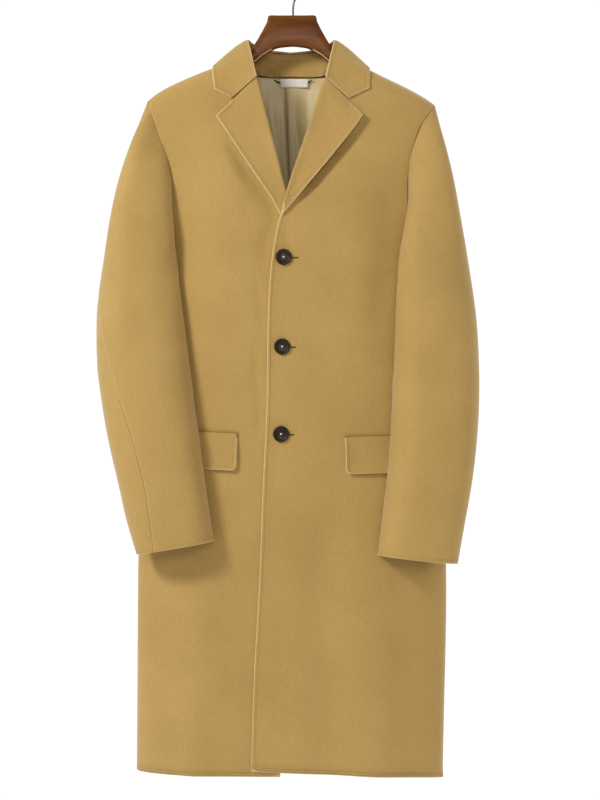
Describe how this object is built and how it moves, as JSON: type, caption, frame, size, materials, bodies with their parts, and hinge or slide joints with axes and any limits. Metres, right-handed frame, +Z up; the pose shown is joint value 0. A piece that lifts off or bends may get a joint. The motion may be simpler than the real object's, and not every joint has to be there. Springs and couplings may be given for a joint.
{
  "type": "wool overcoat on wooden hanger",
  "caption": "Knee-length single-breasted wool overcoat with notch lapels and flap pockets, hanging on a contoured wooden hanger with a wire hook.",
  "frame": {"origin": "inside the top of the hanger's hook, where a rail holds it", "axes": "X across the shoulders to the picture's right (the wearer's left), Y from the front to the back, Z up"},
  "size_m": [0.5767, 0.1891, 1.2362],
  "materials": {
    "wool": "camel double-faced wool, short nap, matt",
    "satin": "taupe-gold satin lining, soft sheen",
    "horn": "dark horn, satin polish",
    "label_cloth": "off-white woven label, bare",
    "tape": "black woven tape",
    "wood": "dark red-brown stained wood, gloss lacquer",
    "metal": "thin dark steel wire"
  },
  "bodies": {
    "root": {"front_left": "wool", "front_right": "wool", "back": "wool", "lining_back": "satin", "sleeve_right_upper": "wool", "sleeve_right_under": "wool", "sleeve_left_upper": "wool", "sleeve_left_under": "wool", "collar_stand": "wool", "collar_fall": "wool", "lapel_right": "wool", "lapel_left": "wool", "flap_right": "wool", "flap_left": "wool", "button_1": "horn", "button_2": "horn", "button_3": "horn", "label": "label_cloth", "hanger_loop": "tape", "hanger_body": "wood", "hanger_hook": "metal"}
  },
  "joints": []
}
